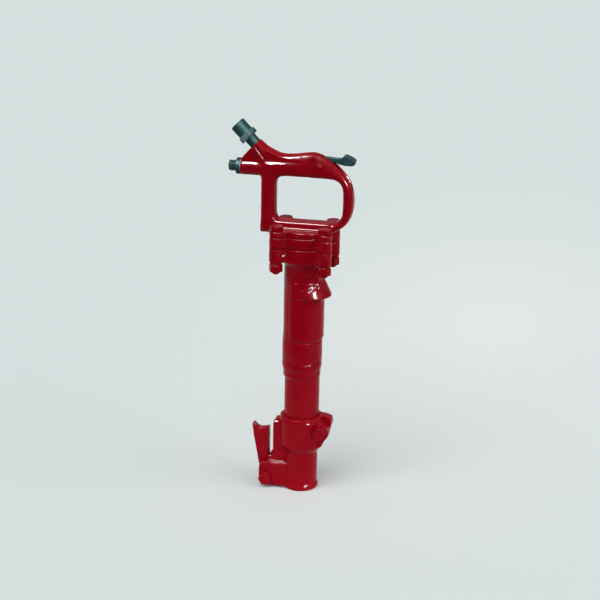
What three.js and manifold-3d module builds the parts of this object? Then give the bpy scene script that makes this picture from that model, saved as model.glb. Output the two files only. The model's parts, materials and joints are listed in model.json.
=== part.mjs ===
// Pneumatic clay digger, standing on the rim of its latch retainer. Millimetres, +Z up.
// The tool axis is vertical, the D-handle lies in the XZ plane, the hose inlet points to -X and up.
import * as THREE from "three";
import { ConvexGeometry } from "three/addons/geometries/ConvexGeometry.js";
import { mergeVertices } from "three/addons/utils/BufferGeometryUtils.js";
import Module from "manifold-3d";

const wasm = await Module();
wasm.setup();

// Driving dimensions, tool axis and running gaps
const gap = 0.3; // between a piece and its seat
const doubleGap = gap * 2; // where a gap is kept on both sides
const overrun = 2; // how far a cutter runs past the face it cuts
const weld = 0.001; // corners closer than this are one corner
const seam = 0.02; // edges shorter than this are closed up in a finished piece

// Shank of the steel that the tool takes: a collared hexagon, 7/8 in across flats
const steelHexFlats = 22.2;
const steelHexSlack = 0.6;
const shankLength = 82.5;
const shankStandProud = 5.2; // how far the shank's end stands above the front bushing
const collarRoom = 31; // the steel's collar and its free travel, from the latch's nose up to the bushing

// Retainer
const neckRadius = 26.5;
const socketRadius = 22;
const rimRadius = 28.5;
const rimHeight = 8.5;
const rimEdgeShare = 0.25; // of the rim's height: its rounded lower edge
const rimFaceShare = 0.7; // up to here the rim stands straight
const rimBlendShare = 1.2; // here the slope from the rim meets the neck
const bodyRadius = 34.5;
const shoulderBottomZ = 62;
const shoulderTopZ = 73;
const retainerTopZ = 123;
const retainerLipRadius = 33.6;
const retainerLipHeight = 6;
const retainerLipRound = 1;
const bushingSeatZ = 73.5;
const bushingFlangeHeight = 9.5;
const bushingWall = 4.7; // added to the piston's bore
const bushingNoseHeight = 1.5; // how far the bushing's foot reaches down into the socket

// Cylinder
const lowerBarrelRadius = 27.6;
const upperBarrelRadius = 31;
const bandRadius = 31.2;
const bandShift = -0.9; // the cast band stands a little off the barrel's axis
const bandBottomZ = 205;
const bandTopZ = 253;
const bandStep = 17; // height of the stepped ring under the band
const bandStepRadius = 29.3;
const bandGroove = 1.6;
const cylinderTopZ = 400;
const cylinderFlangeThickness = 22;
const flangeBlendHeight = 8; // cone from the barrel out to the bolt flange
const boreRadius = 19;
const pistonSlack = 0.4;
const pistonLength = 130;
// The piston's outline in shares of its radius and of its length
const pistonNoseShare = 0.8;
const pistonNoseSlopeShare = 0.2;
const pistonEdgeShare = 0.1;
const pistonWaistShare = 0.9;
const pistonWaistLowShare = 0.4;
const pistonWaistHighShare = 0.55;
const pistonWaistSlopeShare = 0.02;

// Bolting flange shared by cylinder, valve chest and handle
const boltSpacingX = 75;
const boltSpacingY = 64;
const flangeEarRadius = 10.8;
const flangeCoreRadius = 38;
const flangeArmShare = 0.92; // an arm's half width in shares of its ear's radius
const sideBoltRadius = 6.35;
const sideBoltFlats = 19;
const sideBoltHeadHeight = 8;
const sideNutHeight = 12;
const lockWasherThickness = 2;
const boltHoleSlack = 0.5;
const sideBoltPoint = 4.5; // domed end below the nut
const boltTipShares = [[0.45, 0], [0.85, 0.35], [1, 0.8]]; // of the bolt's radius and the dome's height
const chamferShare = 0.6; // a hexagon's chamfer in shares of its corner's reach past its flat

// Valve chest
const chestHeight = 18;
const chestBoreRadius = 26;
const seatPlateThickness = 4.5;
const flapperRadius = 17;
const flapperThickness = 2.5;
const flapperLift = 1.2;
const capSkirt = 5; // depth of the cap's recess round the flapper
const dowelRadius = 2;
const seatPortCount = 4;
const seatPortRadius = 3.2;
const seatPortRingShare = 0.6; // of the flapper's radius

// Handle
const handleFlangeThickness = 9;
const openingFloorHeight = 20; // above the handle's seat on the valve chest
const openingLeft = -45.3;
const openingWidth = 103.3;
const openingHeight = 67.5;
const openingCorner = 10;
const openingShoulderCorner = 17;
const leftLegWidth = 24;
const handleDepth = 29;
const gripTaper = 0.3; // how much narrower the grip is along its top than along the opening
const gripCrestHeight = 39.5;
const handleReach = 74.8; // from the tool axis to the outside of the right leg
const throttleAxisHeight = 11.2; // above the opening's top edge
const throttleBossRadius = 12.8;
const throttleBossLeft = -100;
const inletAngle = 45;
const inletBossRadius = 10.9;
const inletRootShare = 1.4; // the boss's root in shares of its mouth's radius
const inletWebShare = 0.72; // half the web's thickness in shares of the throttle boss's radius
const baseReachShare = 0.7; // how far the base fills the opening's right half
const inletMouth = { x: -79.3, above: 46.8 }; // height above the opening's top edge

// Throttle parts
const throttleBoreRadius = 9;
const outletBoreRadius = 7.2;
const plugHeadFlats = 14.5;
const plugHeadLength = 12;
const plugFlangeRadius = 12.6;
const plugFlangeLength = 6;
const plugThreadLength = 8;
const plugSealThickness = 1.2;
const throttleSeatX = -72;
const throttleSeatLength = 7;
const throttleSeatBore = 5.5;
const throttleHeadRadius = 7.6;
const throttleHeadLength = 7;
const pushRodRadius = 3;
const outletRoomLength = 26;
const rodSealLength = 3;
const springWire = 1.4;
const springRadius = 6;
const throttleSpringTurns = 5;
const legPassageRadius = 7;
const crossPassageRadius = 4.9;
const flangePassageRadius = 13;
const inletPassageRadius = 5.6;
const inletPassageShare = 1.1; // of the nipple's thread, where it starts

// Throttle lever
const leverPin = { x: 23, above: 18.6, radius: 3 };
const stopPin = { x: 11.9, above: 31.8, radius: 2.5 };
const leverWidth = 8;
const leverSlotWidth = 9.4;
const leverTravelDeg = 15;
const leverSpareShare = 0.125; // of the travel: the slot's room beyond each of its ends
const leverKnuckleRadius = 5.1;
const padHalfShare = 0.85; // of the lever's width
const padStartShare = 0.62; // of the lever's length
const stopPinReachShare = 0.43; // of the handle's depth
const grooveDepth = 3;
const grooveHalfWidth = 3;
const fingerDrop = 7.6; // from the lever pin down to the push rod's line
const fingerRadius = 3.4;

// Inlet nipple
const nippleNeckRadius = 9.2;
const nippleNeckLength = 12.5;
const nippleHexFlats = 26.5;
const nippleHexLength = 8.5;
const nippleEndRadius = 12;
const nippleEndLength = 20;
const nippleBoreRadius = 7;
const nippleThreadLength = 16;
const nippleChamferShare = 0.125; // of the end's radius, along the nipple
const nippleMouthShare = 0.9;
const strainerWall = 1;
const strainerHoleRadius = 1.2;
const strainerHoleShares = [-0.8, -0.55, -0.3]; // of the thread's length

// Exhaust hood and panel on the cylinder's right side
const hoodTopZ = 346;
const hoodLipZ = 322;
const hoodFootZ = 319;
const hoodShift = 8.1;
const hoodRadius = 35.9;
const exhaustPanelStep = 1.2; // how far the cast panel under the hood stands off the barrel
const exhaustPanelEdgeX = -16;
const exhaustPortRadius = 5;
const exhaustWayShare = 1 / 3; // of the hood's shift, past its radius

// Clamp of the retainer, pulled shut by one cross bolt
const clampBolt = { x: 33.4, z: 100.3, radius: 5 };
const clampSpotRadius = 11.7;
const clampLugReach = 18.2;
const clampSlot = 1.6;
const smallBoltFlats = 19.5;
const smallHeadHeight = 7;
const smallNutHeight = 8.5;
const washerThickness = 1.8;
const clampWasherRadius = 11.31;

// Latch and the ears that carry it
const latchPivot = { x: -52.5, z: 15.2, radius: 5 };
const earRadius = 11.8;
const earTopZ = 42.5;
const earTopShare = 0.6; // of the ear's radius, from the pivot to the top edge's end
const latchHalfWidth = 13; // of the hub between the ears
const latchPlateHalf = 6; // of the lever and its nose
const earThickness = 7.6;
const stopPinRise = 14.8;
const stopPinLeanDeg = 20;
const latchStopPinRadius = 3.6;
const latchTravelDeg = 16;
const latchHeight = 86; // from the pivot up to the latch's tip
const latchTipReach = 26.6; // from the pivot out to the latch's tip
const latchKnuckleRadius = 9.8;
const latchKneeShare = 0.8; // of the knuckle's radius
const latchShoulderShare = 0.942; // of the latch's height
const latchInnerX = -51.5;
const noseBottomZ = 30;
const noseTipX = -14;
const noseCrestX = -19.6;
const noseEdgeShare = 0.75; // of the nose's height
const latchSpringRadius = 7.4;
const latchSpringTurns = 3;
const latchSpringPitch = 2.2;
const latchForkHalf = 4.6;
const latchForkReach = 23.6;

// Housing on the retainer's left, over the window for the latch's nose
const housingLeft = -43;
const housingHalfWidth = 14;
const housingTopZ = 113.5;
const housingCorner = 4.2;
const housingArch = 9; // rounding of the housing's top seen from the latch's side
const housingFootLeft = -51; // the cheeks on both sides of the latch, at the housing's foot
const housingFootTopZ = 50.5;
const noseSwingRoom = 13; // the window's height over the nose, for its swing

// Facets
const roundBig = 40;
const roundMid = 32;
const roundSmall = 20;
const roundTiny = 12;

// Levels that follow
const handleSeatZ = cylinderTopZ + chestHeight;
const openingBottomZ = handleSeatZ + openingFloorHeight;
const openingTopZ = openingBottomZ + openingHeight;
const openingRight = openingLeft + openingWidth;
const handleFlangeTopZ = handleSeatZ + handleFlangeThickness;
const throttleAxisZ = openingTopZ + throttleAxisHeight;
const inletMouthZ = openingTopZ + inletMouth.above;
const gripTopZ = openingTopZ + gripCrestHeight;
const leverPinZ = openingTopZ + leverPin.above;
const stopPinZ = openingTopZ + stopPin.above;
const bushingFootZ = bushingSeatZ - bushingNoseHeight;
const bushingTopZ = bushingFootZ + shankLength - shankStandProud;
const barrelEndZ = bushingSeatZ + bushingFlangeHeight;
const noseTopZ = bushingFootZ - collarRoom;
const housingBottomZ = earTopZ - gap;
const boltX = boltSpacingX / 2;
const boltY = boltSpacingY / 2;
const turn = Math.PI * 2;
const rad = THREE.MathUtils.degToRad;

const paint = () =>
  new THREE.MeshStandardMaterial({ color: 0x8b0514, roughness: 0.22, metalness: 0.0 });
const blackened = () =>
  new THREE.MeshStandardMaterial({ color: 0x143c3c, roughness: 0.45, metalness: 0.6 });
const bareSteel = () =>
  new THREE.MeshStandardMaterial({ color: 0x9a9ea0, roughness: 0.35, metalness: 1.0 });
const rubber = () =>
  new THREE.MeshStandardMaterial({ color: 0x161616, roughness: 0.8, metalness: 0.0 });

// Turns a closed geometry into a solid that can be joined and cut.
function solid(geometry) {
  const bare = geometry.clone();
  bare.deleteAttribute("normal");
  bare.deleteAttribute("uv");
  const merged = mergeVertices(bare, weld);
  const corners = merged.index.array;
  const kept = [];
  for (let i = 0; i < corners.length; i += 3) {
    const [a, b, c] = corners.slice(i, i + 3);
    if (a !== b && b !== c && c !== a) kept.push(a, b, c);
  }
  return new wasm.Manifold(
    new wasm.Mesh({
      numProp: 3,
      vertProperties: new Float32Array(merged.attributes.position.array),
      triVerts: new Uint32Array(kept),
    }),
  );
}

// Turns a solid back into a geometry, with edges shorter than the seam closed up.
function geometryOf(body) {
  const mesh = body.asOriginal().simplify(seam).getMesh();
  const geometry = new THREE.BufferGeometry();
  geometry.setAttribute("position", new THREE.BufferAttribute(mesh.vertProperties, 3));
  geometry.setIndex(new THREE.BufferAttribute(mesh.triVerts, 1));
  return geometry;
}

const join = (first, ...rest) => rest.reduce((body, piece) => body.add(piece), first);
const cut = (first, ...rest) => rest.reduce((body, piece) => body.subtract(piece), first);

// A rod along Z from one level to another; place holds the x and y of its axis.
function rod(radius, low, high, facets = roundSmall, place = [0, 0], topRadius = radius) {
  const geometry = new THREE.CylinderGeometry(topRadius, radius, high - low, facets);
  geometry.rotateX(Math.PI / 2);
  geometry.translate(place[0], place[1], (low + high) / 2);
  return solid(geometry);
}

// A rod along X or Y; place holds the other two coordinates of its axis.
function rodX(radius, low, high, place, facets = roundSmall) {
  const geometry = new THREE.CylinderGeometry(radius, radius, high - low, facets);
  geometry.rotateZ(-Math.PI / 2);
  geometry.translate((low + high) / 2, place[0], place[1]);
  return solid(geometry);
}

function rodY(radius, low, high, place, facets = roundSmall) {
  const geometry = new THREE.CylinderGeometry(radius, radius, high - low, facets);
  geometry.translate(place[0], (low + high) / 2, place[1]);
  return solid(geometry);
}

// A block between two corners.
function block(low, high) {
  const geometry = new THREE.BoxGeometry(high[0] - low[0], high[1] - low[1], high[2] - low[2]);
  geometry.translate((low[0] + high[0]) / 2, (low[1] + high[1]) / 2, (low[2] + high[2]) / 2);
  return solid(geometry);
}

// A turned piece about Z from an outline of radius and height pairs that closes on itself.
function turned(outline, facets = roundBig) {
  const points = outline.map(([radius, height]) => new THREE.Vector2(radius, height));
  const geometry = new THREE.LatheGeometry([...points, points[0].clone()], facets);
  geometry.rotateX(Math.PI / 2);
  return solid(geometry);
}

// A ring about Z between two radii and two levels.
const ring = (inner, outer, low, high, facets = roundMid) =>
  turned([[inner, low], [outer, low], [outer, high], [inner, high]], facets);

// A plate whose XZ outline is pushed out along Y to both sides of the middle plane.
function plateXZ(shape, halfDepth, round = 0, steps = 3) {
  const geometry = new THREE.ExtrudeGeometry(shape, {
    depth: 2 * (halfDepth - round),
    steps: 1,
    curveSegments: roundTiny,
    bevelEnabled: round > 0,
    bevelThickness: round,
    bevelSize: round,
    bevelOffset: -round,
    bevelSegments: steps,
  });
  geometry.translate(0, 0, -(halfDepth - round));
  geometry.rotateX(Math.PI / 2);
  return solid(geometry);
}

// A plate whose XY outline is pushed up between two levels.
function plateXY(shape, low, high) {
  const geometry = new THREE.ExtrudeGeometry(shape, {
    depth: high - low,
    steps: 1,
    curveSegments: roundTiny,
    bevelEnabled: false,
  });
  geometry.translate(0, 0, low);
  return solid(geometry);
}

// A hexagonal prism along Z with its flats facing Y.
function hexagon(flats, low, high, place = [0, 0]) {
  const geometry = new THREE.CylinderGeometry(
    flats / Math.sqrt(3), flats / Math.sqrt(3), high - low, 6);
  geometry.rotateX(Math.PI / 2);
  geometry.rotateZ(Math.PI / 2);
  geometry.translate(place[0], place[1], (low + high) / 2);
  return solid(geometry);
}

// Rounds the corners of a hexagon along Z the way a turned chamfer does.
function chamferedHexagon(flats, low, high) {
  const corner = flats / Math.sqrt(3);
  const face = flats / 2;
  const drop = (corner - face) * chamferShare;
  const turnedBlank = turned(
    [[0, low], [corner, low], [corner, high - drop], [face, high], [0, high]], roundMid);
  return hexagon(flats, low, high).intersect(turnedBlank);
}

// A smooth closed outline through points, given as [x, z] pairs.
function outline(points) {
  const shape = new THREE.Shape();
  shape.setFromPoints(points.map(([x, z]) => new THREE.Vector2(x, z)));
  return shape;
}

// Points along a smooth open curve through the given points.
function smooth(points, count) {
  const curve = new THREE.CatmullRomCurve3(
    points.map(([x, z]) => new THREE.Vector3(x, z, 0)), false, "centripetal");
  return curve.getPoints(count).map((p) => [p.x, p.y]);
}

// A rectangle in the XZ plane with its own radius at each corner, from the lower left round.
function roundedOpening(left, right, bottom, top, radii) {
  const centres = [
    [left + radii[0], bottom + radii[0]],
    [right - radii[1], bottom + radii[1]],
    [right - radii[2], top - radii[2]],
    [left + radii[3], top - radii[3]],
  ];
  return centres.flatMap(([x, z], i) => arc([x, z], radii[i], 180 + 90 * i, 270 + 90 * i));
}

// Points on an arc about a centre, from one angle in degrees to another.
function arc(centre, radius, fromDeg, toDeg, steps = 6) {
  return Array.from({ length: steps + 1 }, (unused, i) => {
    const angle = rad(fromDeg + ((toDeg - fromDeg) * i) / steps);
    return [centre[0] + radius * Math.cos(angle), centre[1] + radius * Math.sin(angle)];
  });
}

// How far a ray from a centre runs before it leaves a closed outline.
function reach(points, centre, angle) {
  const [dx, dz] = [Math.cos(angle), Math.sin(angle)];
  let far = 0;
  points.forEach(([ax, az], i) => {
    const [bx, bz] = points[(i + 1) % points.length];
    const [ex, ez] = [bx - ax, bz - az];
    const across = dx * ez - dz * ex;
    const along = ((ax - centre[0]) * ez - (az - centre[1]) * ex) / across;
    const share = ((ax - centre[0]) * dz - (az - centre[1]) * dx) / across;
    if (share >= 0 && share <= 1 && along > far) far = along;
  });
  return far;
}

// A closed loop of rounded sections, each spanning from the opening to the outer outline. Where the
// loop runs over the top, its outer side is narrower than its inner side by the taper.
function roundedLoop(outer, opening, centre, halfDepth, taper, stations = 52, sides = 14) {
  const vertices = [];
  const faces = [];
  const squareness = 2.8;
  const bulge = (value) => Math.sign(value) * Math.abs(value) ** (2 / squareness);
  for (let i = 0; i < stations; i += 1) {
    const angle = (i * turn) / stations;
    const near = reach(opening, centre, angle);
    const far = reach(outer, centre, angle);
    const lean = taper * Math.max(0, Math.sin(angle)) ** 2;
    for (let k = 0; k < sides; k += 1) {
      const spin = ((k + 0.5) * turn) / sides;
      const out = (near + far) / 2 + (bulge(Math.cos(spin)) * (far - near)) / 2;
      const half = halfDepth * (1 - (lean * (1 + bulge(Math.cos(spin)))) / 2);
      vertices.push(centre[0] + out * Math.cos(angle), bulge(Math.sin(spin)) * half,
        centre[1] + out * Math.sin(angle));
      const [a, b] = [i * sides + k, i * sides + ((k + 1) % sides)];
      const shift = i === stations - 1 ? -sides * (stations - 1) : sides;
      faces.push(a, b, a + shift, b, b + shift, a + shift);
    }
  }
  const geometry = new THREE.BufferGeometry();
  geometry.setAttribute("position", new THREE.Float32BufferAttribute(vertices, 3));
  geometry.setIndex(faces);
  return solid(geometry);
}

const tool = new THREE.Group();

// Adds a named piece to the tool, at a place and turn of its own if it has one.
function add(name, body, material, place = [0, 0, 0], rotation = [0, 0, 0]) {
  const mesh = new THREE.Mesh(geometryOf(body), material);
  mesh.name = name;
  mesh.position.set(...place);
  mesh.rotation.set(...rotation);
  tool.add(mesh);
  return mesh;
}

// Flange outline: a round core with four bolt ears on straight arms.
function flangeBody(low, high) {
  const armHalf = flangeEarRadius * flangeArmShare;
  const ears = [-1, 1].flatMap((sx) => [-1, 1].map((sy) => {
    const ear = rod(flangeEarRadius, low, high, roundMid, [sx * boltX, sy * boltY]);
    const length = Math.hypot(boltX, boltY);
    const arm = new THREE.BoxGeometry(length, 2 * armHalf, high - low);
    arm.translate(length / 2, 0, (low + high) / 2);
    arm.rotateZ(Math.atan2(sy * boltY, sx * boltX));
    return ear.add(solid(arm));
  }));
  return join(rod(flangeCoreRadius, low, high, roundBig), ...ears);
}

function boltHoles(low, high) {
  return [-1, 1].flatMap((sx) => [-1, 1].map((sy) =>
    rod(sideBoltRadius + boltHoleSlack, low - overrun, high + overrun, roundSmall,
      [sx * boltX, sy * boltY])));
}

// Latch retainer: a neck with a rim, a wide clamp body, ears for the latch and clamp lugs.
// The lugs' outlines are in shares of the clamp bolt's distance in X and of the clamp body's height in Z.
// The front lug is the lower one and has a knob at its foot.
const frontLugShares = [
  [0.5, 0], [0.95, 0], [1.1, 0.07], [1.17, 0.18], [1.2, 0.25], [1.27, 0.3], [1.39, 0.41], [1.43, 0.51],
  [1.42, 0.57], [1.35, 0.68], [1.14, 0.82], [1, 0.86], [0.5, 0.86],
];
const rearLugShares = [
  [0.5, 0], [0.95, 0], [1.1, 0.07], [1.2, 0.22], [1.32, 0.38], [1.38, 0.56], [1.44, 0.67], [1.455, 0.77],
  [1.4, 0.91], [1.08, 0.98], [0.5, 0.98],
];
// Where the latch's stop pin stands, seen by a latch that has swung by a share of its travel.
function stopPinPlace(share) {
  const angle = rad(latchTravelDeg * share - stopPinLeanDeg);
  return [latchPivot.x + stopPinRise * Math.sin(angle), latchPivot.z + stopPinRise * Math.cos(angle)];
}
function retainerBody() {
  const shell = turned([
    [0, 0],
    [rimRadius - rimHeight * rimEdgeShare, 0],
    [rimRadius, rimHeight * rimEdgeShare],
    [rimRadius, rimHeight * rimFaceShare],
    [neckRadius, rimHeight * rimBlendShare],
    [neckRadius, shoulderBottomZ],
    [bodyRadius - bandGroove, shoulderTopZ - bandGroove],
    [bodyRadius, shoulderTopZ + bandGroove],
    [bodyRadius, retainerTopZ - retainerLipHeight],
    [retainerLipRadius, retainerTopZ - retainerLipHeight + retainerLipRound],
    [retainerLipRadius, retainerTopZ - retainerLipRound],
    [retainerLipRadius - retainerLipRound, retainerTopZ],
    [0, retainerTopZ],
  ]);
  const earSpan = latchHalfWidth + gap + earThickness;
  const earLeft = latchPivot.x - earRadius;
  const ear = outline([
    [0, latchPivot.z - earRadius],
    [0, earTopZ],
    [latchPivot.x + earRadius * earTopShare, earTopZ],
    ...arc([earLeft + earRadius, earTopZ - earRadius], earRadius, 110, 180),
    ...arc([latchPivot.x, latchPivot.z], earRadius, 180, 270),
  ]);
  const ears = plateXZ(ear, earSpan);
  const earSlot = block(
    [latchPivot.x - earRadius - overrun, -latchHalfWidth - gap, -overrun],
    [-neckRadius - doubleGap, latchHalfWidth + gap, earTopZ + overrun]);
  const slotKeep = cut(earSlot, rod(neckRadius + gap, -overrun, retainerTopZ, roundBig));
  const housingEdge = housingCorner / 3;
  const housingShape = outline([
    [housingLeft, housingBottomZ],
    [housingLeft, housingTopZ - housingCorner],
    [housingLeft + housingEdge, housingTopZ - housingEdge],
    [housingLeft + housingCorner, housingTopZ],
    [0, housingTopZ],
    [0, housingBottomZ],
  ]);
  const archMiddle = housingHalfWidth - housingArch;
  const archShape = outline([
    [-housingHalfWidth, housingBottomZ - overrun],
    [housingHalfWidth, housingBottomZ - overrun],
    ...arc([archMiddle, housingTopZ - housingArch], housingArch, 0, 90),
    ...arc([-archMiddle, housingTopZ - housingArch], housingArch, 90, 180),
  ]);
  const arch = plateXZ(archShape, bodyRadius * 2).rotate([0, 0, 90]);
  const housing = plateXZ(housingShape, housingHalfWidth + overrun).intersect(arch);
  const footShape = outline([
    [housingFootLeft, housingBottomZ],
    [housingFootLeft, housingFootTopZ - housingEdge],
    [housingFootLeft + housingEdge, housingFootTopZ],
    [housingLeft + housingCorner, housingFootTopZ],
    [housingLeft + housingCorner, housingBottomZ],
  ]);
  const latchWay = block(
    [housingFootLeft - overrun, -latchPlateHalf - doubleGap, housingBottomZ - overrun],
    [housingLeft, latchPlateHalf + doubleGap, housingFootTopZ + overrun]);
  const foot = cut(plateXZ(footShape, housingHalfWidth), latchWay);
  const lugs = [[frontLugShares, -1], [rearLugShares, 1]].map(([shares, side]) => {
    const lugShape = outline(shares.map(([x, z]) => [
      x * clampBolt.x, shoulderTopZ + z * (retainerTopZ - shoulderTopZ)]));
    return plateXZ(lugShape, clampLugReach / 2).translate([0, side * (clampLugReach - gap) / 2, 0]);
  });
  const solidBody = join(cut(ears, slotKeep), shell, housing, foot, ...lugs);
  const window = block(
    [housingLeft - overrun, -latchPlateHalf - doubleGap, noseBottomZ - doubleGap - gap],
    [-socketRadius / 2, latchPlateHalf + doubleGap, noseTopZ + noseSwingRoom]);
  const frontFace = -earSpan - overrun;
  const spotFaces = [-1, 1].map((side) => {
    const ends = [side * clampLugReach, side * (bodyRadius + overrun)].sort((a, b) => a - b);
    return rodY(clampSpotRadius, ...ends, [clampBolt.x, clampBolt.z], roundMid);
  });
  return cut(solidBody,
    ...spotFaces,
    rod(socketRadius, -overrun, retainerTopZ + overrun, roundBig),
    rod(lowerBarrelRadius + gap, bushingSeatZ, retainerTopZ + overrun, roundBig),
    window,
    block(
      [bodyRadius / 2, -clampSlot / 2, shoulderTopZ],
      [bodyRadius * 2, clampSlot / 2, retainerTopZ + overrun]),
    rodY(clampBolt.radius + boltHoleSlack, -bodyRadius, bodyRadius, [clampBolt.x, clampBolt.z]),
    rodY(latchPivot.radius + gap, frontFace, -frontFace, [latchPivot.x, latchPivot.z]),
    rodY(latchStopPinRadius + gap, frontFace, -frontFace, stopPinPlace(0)));
}
add("latch_retainer", retainerBody(), paint());

// Front bushing: a flanged sleeve with the hexagon bore that guides the steel
const bushingFlangeRadius = lowerBarrelRadius - gap;
const bushingFlange = bushingFlangeHeight - gap;
const bushingRadius = boreRadius + bushingWall;
add("front_bushing", cut(
  turned([
    [0, bushingFootZ],
    [socketRadius - gap, bushingFootZ],
    [socketRadius - gap, bushingSeatZ + gap],
    [bushingFlangeRadius, bushingSeatZ + gap],
    [bushingFlangeRadius, bushingSeatZ + bushingFlange],
    [bushingRadius, bushingSeatZ + bushingFlange],
    [bushingRadius, bushingTopZ],
    [0, bushingTopZ],
  ]),
  hexagon(steelHexFlats + steelHexSlack, bushingFootZ - overrun, bushingTopZ + overrun)),
bareSteel());

// Cylinder: barrel with a raised band, exhaust hood and bolt flange
function cylinderBody() {
  const flangeBottomZ = cylinderTopZ - cylinderFlangeThickness;
  const barrel = rod(lowerBarrelRadius, barrelEndZ, bandBottomZ, roundBig)
    .add(rod(upperBarrelRadius, bandTopZ, cylinderTopZ, roundBig));
  const band = turned([
    [0, bandBottomZ - bandStep],
    [bandStepRadius - bandGroove, bandBottomZ - bandStep],
    [bandStepRadius, bandBottomZ - bandStep + bandGroove],
    [bandStepRadius, bandBottomZ - bandStep / 3],
    [bandRadius, bandBottomZ],
    [bandRadius, bandTopZ],
    [bandRadius - bandGroove, bandTopZ + bandGroove],
    [0, bandTopZ + bandGroove],
  ]).translate([bandShift, 0, 0]);
  const hoodRings = [
    [upperBarrelRadius, bandGroove, hoodTopZ],
    [hoodRadius, hoodShift, hoodLipZ],
    [upperBarrelRadius - gap, 0, hoodFootZ],
  ];
  const hoodPoints = hoodRings.flatMap(([radius, shift, level]) =>
    arc([shift, 0], radius, 0, 360, roundBig).slice(1).map(([x, y]) => new THREE.Vector3(x, y, level)));
  const hood = solid(new ConvexGeometry(hoodPoints));
  const panelRadius = upperBarrelRadius + exhaustPanelStep;
  const panel = cut(rod(panelRadius, bandTopZ, hoodTopZ, roundBig), block(
    [-panelRadius - overrun, -panelRadius - overrun, bandTopZ - overrun],
    [exhaustPanelEdgeX, panelRadius + overrun, hoodTopZ + overrun]));
  const exhaustWay = block(
    [boreRadius, -hoodShift, hoodFootZ - hoodShift],
    [hoodRadius + hoodShift * exhaustWayShare, hoodShift, hoodLipZ + exhaustPortRadius]);
  const wayKeep = cut(exhaustWay, rod(upperBarrelRadius, hoodFootZ - bodyRadius, hoodTopZ, roundBig));
  const flangeBlend = turned([
    [0, flangeBottomZ - flangeBlendHeight],
    [upperBarrelRadius - gap, flangeBottomZ - flangeBlendHeight],
    [flangeCoreRadius - doubleGap, flangeBottomZ],
    [flangeCoreRadius - doubleGap, flangeBottomZ + overrun],
    [0, flangeBottomZ + overrun],
  ]);
  return cut(join(barrel, band, hood, panel, flangeBlend, flangeBody(flangeBottomZ, cylinderTopZ)),
    rod(boreRadius, barrelEndZ - overrun, cylinderTopZ + overrun, roundBig),
    rod(bushingRadius + gap, barrelEndZ - overrun, bushingTopZ + gap, roundBig),
    wayKeep,
    rodX(exhaustPortRadius, boreRadius / 2, hoodRadius, [0, hoodLipZ], roundTiny),
    ...boltHoles(flangeBottomZ, cylinderTopZ));
}
add("cylinder", cylinderBody(), paint());

// Hammer piston: free in its bore, with a relieved waist and a striking nose
const pistonRadius = boreRadius - pistonSlack;
const pistonBottomZ = bushingTopZ + gap;
const pistonTopZ = pistonBottomZ + pistonLength;
add("piston", turned([
  [0, pistonBottomZ],
  [pistonRadius * pistonNoseShare, pistonBottomZ],
  [pistonRadius, pistonBottomZ + pistonRadius * pistonNoseSlopeShare],
  [pistonRadius, pistonBottomZ + pistonLength * (pistonWaistLowShare - pistonWaistSlopeShare)],
  [pistonRadius * pistonWaistShare, pistonBottomZ + pistonLength * pistonWaistLowShare],
  [pistonRadius * pistonWaistShare, pistonBottomZ + pistonLength * pistonWaistHighShare],
  [pistonRadius, pistonBottomZ + pistonLength * (pistonWaistHighShare + pistonWaistSlopeShare)],
  [pistonRadius, pistonTopZ - pistonRadius * pistonEdgeShare],
  [pistonRadius * (1 - pistonEdgeShare), pistonTopZ],
  [0, pistonTopZ],
]), bareSteel());

// Valve chest: a flanged block whose bore holds a seat plate, a flapper and a cap
const chestBottomZ = cylinderTopZ + gap;
const chestTopZ = handleSeatZ - gap;
add("valve_chest", cut(
  flangeBody(chestBottomZ, chestTopZ),
  rod(chestBoreRadius, chestBottomZ - overrun, chestTopZ + overrun, roundBig),
  ...boltHoles(chestBottomZ, chestTopZ)), paint());
const seatTopZ = chestBottomZ + seatPlateThickness;
const innerRadius = chestBoreRadius - gap;
const dowelX = (flapperRadius + gap + innerRadius) / 2;
const seatPortRing = flapperRadius * seatPortRingShare;
const seatPorts = Array.from({ length: seatPortCount }, (unused, i) => {
  const angle = ((i + 0.5) * turn) / seatPortCount;
  return rod(seatPortRadius, chestBottomZ - overrun, seatTopZ + overrun, roundTiny,
    [Math.cos(angle) * seatPortRing, Math.sin(angle) * seatPortRing]);
});
add("valve_seat_plate", cut(
  rod(innerRadius, chestBottomZ, seatTopZ, roundMid),
  rod(dowelRadius + gap, chestBottomZ - overrun, seatTopZ + overrun, roundTiny, [dowelX, 0]),
  ...seatPorts), bareSteel());
const flapperBottomZ = seatTopZ + gap;
add("flapper_valve", rod(flapperRadius, flapperBottomZ, flapperBottomZ + flapperThickness, roundMid),
  bareSteel());
const capBottomZ = seatTopZ + gap;
const capRoofZ = flapperBottomZ + flapperThickness + flapperLift + gap;
add("valve_cap", cut(
  rod(innerRadius, capBottomZ, chestTopZ, roundMid),
  rod(flapperRadius + doubleGap, capBottomZ - overrun, capRoofZ, roundMid),
  rod(capSkirt, capRoofZ - overrun, chestTopZ + overrun, roundSmall),
  rod(dowelRadius + gap, capBottomZ - overrun, chestTopZ - capSkirt, roundTiny, [dowelX, 0])),
bareSteel());
add("valve_dowel",
  rod(dowelRadius, chestBottomZ, chestTopZ - capSkirt - gap, roundTiny, [dowelX, 0]), bareSteel());

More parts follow.
